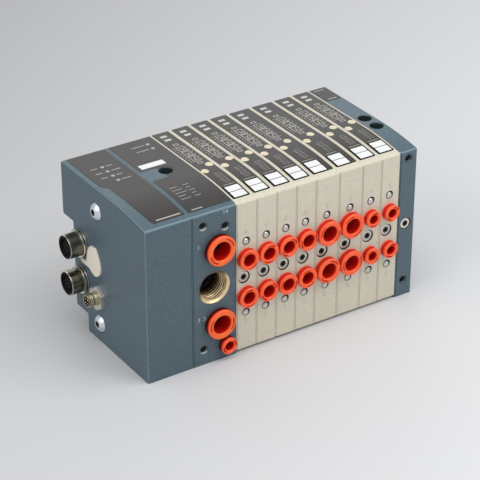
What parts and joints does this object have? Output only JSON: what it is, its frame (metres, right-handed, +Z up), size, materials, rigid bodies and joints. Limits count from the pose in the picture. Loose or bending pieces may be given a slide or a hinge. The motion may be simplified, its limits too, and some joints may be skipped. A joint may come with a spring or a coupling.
{
  "type": "pneumatic valve island",
  "caption": "Row of slim pneumatic valve slices between a network and supply module and an end plate, with push-in tube ports in front.",
  "frame": {"origin": "on the standing plane, under the middle of the whole island's box", "axes": "+X along the row from the network module to the end plate, -Y the side with the tube ports, +Z up"},
  "size_m": [0.203, 0.1018, 0.105],
  "materials": {
    "housing": "satin blue-grey coating",
    "valve": "matte beige",
    "collet": "gloss orange-red",
    "button": "cream plastic",
    "brass": "machined",
    "steel": "zinc plated",
    "connector": "nickel plated",
    "board": "green board",
    "spool": "turned"
  },
  "bodies": {
    "base": {"network_housing": "housing", "data_sockets": "connector", "power_plug": "brass", "control_board": "board", "joint_screws": "steel", "supply_housing": "housing", "exhaust_bush": "brass", "end_plate": "housing", "clamp_screws": "steel", "valve_1": "valve", "valve_2": "valve", "valve_3": "valve", "valve_4": "valve", "valve_5": "valve", "valve_6": "valve", "valve_7": "valve", "valve_8": "valve"},
    "spool_1": {"spool_1": "spool"},
    "override_1_front": {"override_1_front": "button"},
    "override_1_rear": {"override_1_rear": "button"},
    "spool_2": {"spool_2": "spool"},
    "override_2_front": {"override_2_front": "button"},
    "override_2_rear": {"override_2_rear": "button"},
    "spool_3": {"spool_3": "spool"},
    "override_3_front": {"override_3_front": "button"},
    "override_3_rear": {"override_3_rear": "button"},
    "spool_4": {"spool_4": "spool"},
    "override_4_front": {"override_4_front": "button"},
    "override_4_rear": {"override_4_rear": "button"},
    "spool_5": {"spool_5": "spool"},
    "override_5_front": {"override_5_front": "button"},
    "override_5_rear": {"override_5_rear": "button"},
    "spool_6": {"spool_6": "spool"},
    "override_6_front": {"override_6_front": "button"},
    "override_6_rear": {"override_6_rear": "button"},
    "spool_7": {"spool_7": "spool"},
    "override_7_front": {"override_7_front": "button"},
    "override_7_rear": {"override_7_rear": "button"},
    "spool_8": {"spool_8": "spool"},
    "override_8_front": {"override_8_front": "button"},
    "override_8_rear": {"override_8_rear": "button"},
    "collet_supply": {"collet_supply": "collet"},
    "collet_exhaust": {"collet_exhaust": "collet"},
    "collet_pilot": {"collet_pilot": "collet"},
    "collet_1_upper": {"collet_1_upper": "collet"},
    "collet_1_lower": {"collet_1_lower": "collet"},
    "collet_2_upper": {"collet_2_upper": "collet"},
    "collet_2_lower": {"collet_2_lower": "collet"},
    "collet_3_upper": {"collet_3_upper": "collet"},
    "collet_3_lower": {"collet_3_lower": "collet"},
    "collet_4_upper": {"collet_4_upper": "collet"},
    "collet_4_lower": {"collet_4_lower": "collet"},
    "collet_5_upper": {"collet_5_upper": "collet"},
    "collet_5_lower": {"collet_5_lower": "collet"},
    "collet_6_upper": {"collet_6_upper": "collet"},
    "collet_6_lower": {"collet_6_lower": "collet"},
    "collet_7_upper": {"collet_7_upper": "collet"},
    "collet_7_lower": {"collet_7_lower": "collet"},
    "collet_8_upper": {"collet_8_upper": "collet"},
    "collet_8_lower": {"collet_8_lower": "collet"}
  },
  "joints": [
    {"name": "spool_1_slide", "type": "slide", "parent": "base", "child": "spool_1", "axis": [0, -1, 0], "range_m": [0, 0.008]},
    {"name": "override_1_front_press", "type": "slide", "parent": "base", "child": "override_1_front", "axis": [0, 0, -1], "range_m": [0, 0.0012], "stiffness_N_per_m": 400},
    {"name": "override_1_rear_press", "type": "slide", "parent": "base", "child": "override_1_rear", "axis": [0, 0, -1], "range_m": [0, 0.0012], "stiffness_N_per_m": 400},
    {"name": "spool_2_slide", "type": "slide", "parent": "base", "child": "spool_2", "axis": [0, -1, 0], "range_m": [0, 0.008]},
    {"name": "override_2_front_press", "type": "slide", "parent": "base", "child": "override_2_front", "axis": [0, 0, -1], "range_m": [0, 0.0012], "stiffness_N_per_m": 400},
    {"name": "override_2_rear_press", "type": "slide", "parent": "base", "child": "override_2_rear", "axis": [0, 0, -1], "range_m": [0, 0.0012], "stiffness_N_per_m": 400},
    {"name": "spool_3_slide", "type": "slide", "parent": "base", "child": "spool_3", "axis": [0, -1, 0], "range_m": [0, 0.008]},
    {"name": "override_3_front_press", "type": "slide", "parent": "base", "child": "override_3_front", "axis": [0, 0, -1], "range_m": [0, 0.0012], "stiffness_N_per_m": 400},
    {"name": "override_3_rear_press", "type": "slide", "parent": "base", "child": "override_3_rear", "axis": [0, 0, -1], "range_m": [0, 0.0012], "stiffness_N_per_m": 400},
    {"name": "spool_4_slide", "type": "slide", "parent": "base", "child": "spool_4", "axis": [0, -1, 0], "range_m": [0, 0.008]},
    {"name": "override_4_front_press", "type": "slide", "parent": "base", "child": "override_4_front", "axis": [0, 0, -1], "range_m": [0, 0.0012], "stiffness_N_per_m": 400},
    {"name": "override_4_rear_press", "type": "slide", "parent": "base", "child": "override_4_rear", "axis": [0, 0, -1], "range_m": [0, 0.0012], "stiffness_N_per_m": 400},
    {"name": "spool_5_slide", "type": "slide", "parent": "base", "child": "spool_5", "axis": [0, -1, 0], "range_m": [0, 0.008]},
    {"name": "override_5_front_press", "type": "slide", "parent": "base", "child": "override_5_front", "axis": [0, 0, -1], "range_m": [0, 0.0012], "stiffness_N_per_m": 400},
    {"name": "override_5_rear_press", "type": "slide", "parent": "base", "child": "override_5_rear", "axis": [0, 0, -1], "range_m": [0, 0.0012], "stiffness_N_per_m": 400},
    {"name": "spool_6_slide", "type": "slide", "parent": "base", "child": "spool_6", "axis": [0, -1, 0], "range_m": [0, 0.008]},
    {"name": "override_6_front_press", "type": "slide", "parent": "base", "child": "override_6_front", "axis": [0, 0, -1], "range_m": [0, 0.0012], "stiffness_N_per_m": 400},
    {"name": "override_6_rear_press", "type": "slide", "parent": "base", "child": "override_6_rear", "axis": [0, 0, -1], "range_m": [0, 0.0012], "stiffness_N_per_m": 400},
    {"name": "spool_7_slide", "type": "slide", "parent": "base", "child": "spool_7", "axis": [0, -1, 0], "range_m": [0, 0.008]},
    {"name": "override_7_front_press", "type": "slide", "parent": "base", "child": "override_7_front", "axis": [0, 0, -1], "range_m": [0, 0.0012], "stiffness_N_per_m": 400},
    {"name": "override_7_rear_press", "type": "slide", "parent": "base", "child": "override_7_rear", "axis": [0, 0, -1], "range_m": [0, 0.0012], "stiffness_N_per_m": 400},
    {"name": "spool_8_slide", "type": "slide", "parent": "base", "child": "spool_8", "axis": [0, -1, 0], "range_m": [0, 0.008]},
    {"name": "override_8_front_press", "type": "slide", "parent": "base", "child": "override_8_front", "axis": [0, 0, -1], "range_m": [0, 0.0012], "stiffness_N_per_m": 400},
    {"name": "override_8_rear_press", "type": "slide", "parent": "base", "child": "override_8_rear", "axis": [0, 0, -1], "range_m": [0, 0.0012], "stiffness_N_per_m": 400},
    {"name": "collet_supply_press", "type": "slide", "parent": "base", "child": "collet_supply", "axis": [0, 1, 0], "range_m": [0, 0.0012], "stiffness_N_per_m": 800},
    {"name": "collet_exhaust_press", "type": "slide", "parent": "base", "child": "collet_exhaust", "axis": [0, 1, 0], "range_m": [0, 0.0012], "stiffness_N_per_m": 800},
    {"name": "collet_pilot_press", "type": "slide", "parent": "base", "child": "collet_pilot", "axis": [0, 1, 0], "range_m": [0, 0.0012], "stiffness_N_per_m": 800},
    {"name": "collet_1_upper_press", "type": "slide", "parent": "base", "child": "collet_1_upper", "axis": [0, 1, 0], "range_m": [0, 0.0012], "stiffness_N_per_m": 800},
    {"name": "collet_1_lower_press", "type": "slide", "parent": "base", "child": "collet_1_lower", "axis": [0, 1, 0], "range_m": [0, 0.0012], "stiffness_N_per_m": 800},
    {"name": "collet_2_upper_press", "type": "slide", "parent": "base", "child": "collet_2_upper", "axis": [0, 1, 0], "range_m": [0, 0.0012], "stiffness_N_per_m": 800},
    {"name": "collet_2_lower_press", "type": "slide", "parent": "base", "child": "collet_2_lower", "axis": [0, 1, 0], "range_m": [0, 0.0012], "stiffness_N_per_m": 800},
    {"name": "collet_3_upper_press", "type": "slide", "parent": "base", "child": "collet_3_upper", "axis": [0, 1, 0], "range_m": [0, 0.0012], "stiffness_N_per_m": 800},
    {"name": "collet_3_lower_press", "type": "slide", "parent": "base", "child": "collet_3_lower", "axis": [0, 1, 0], "range_m": [0, 0.0012], "stiffness_N_per_m": 800},
    {"name": "collet_4_upper_press", "type": "slide", "parent": "base", "child": "collet_4_upper", "axis": [0, 1, 0], "range_m": [0, 0.0012], "stiffness_N_per_m": 800},
    {"name": "collet_4_lower_press", "type": "slide", "parent": "base", "child": "collet_4_lower", "axis": [0, 1, 0], "range_m": [0, 0.0012], "stiffness_N_per_m": 800},
    {"name": "collet_5_upper_press", "type": "slide", "parent": "base", "child": "collet_5_upper", "axis": [0, 1, 0], "range_m": [0, 0.0012], "stiffness_N_per_m": 800},
    {"name": "collet_5_lower_press", "type": "slide", "parent": "base", "child": "collet_5_lower", "axis": [0, 1, 0], "range_m": [0, 0.0012], "stiffness_N_per_m": 800},
    {"name": "collet_6_upper_press", "type": "slide", "parent": "base", "child": "collet_6_upper", "axis": [0, 1, 0], "range_m": [0, 0.0012], "stiffness_N_per_m": 800},
    {"name": "collet_6_lower_press", "type": "slide", "parent": "base", "child": "collet_6_lower", "axis": [0, 1, 0], "range_m": [0, 0.0012], "stiffness_N_per_m": 800},
    {"name": "collet_7_upper_press", "type": "slide", "parent": "base", "child": "collet_7_upper", "axis": [0, 1, 0], "range_m": [0, 0.0012], "stiffness_N_per_m": 800},
    {"name": "collet_7_lower_press", "type": "slide", "parent": "base", "child": "collet_7_lower", "axis": [0, 1, 0], "range_m": [0, 0.0012], "stiffness_N_per_m": 800},
    {"name": "collet_8_upper_press", "type": "slide", "parent": "base", "child": "collet_8_upper", "axis": [0, 1, 0], "range_m": [0, 0.0012], "stiffness_N_per_m": 800},
    {"name": "collet_8_lower_press", "type": "slide", "parent": "base", "child": "collet_8_lower", "axis": [0, 1, 0], "range_m": [0, 0.0012], "stiffness_N_per_m": 800}
  ]
}
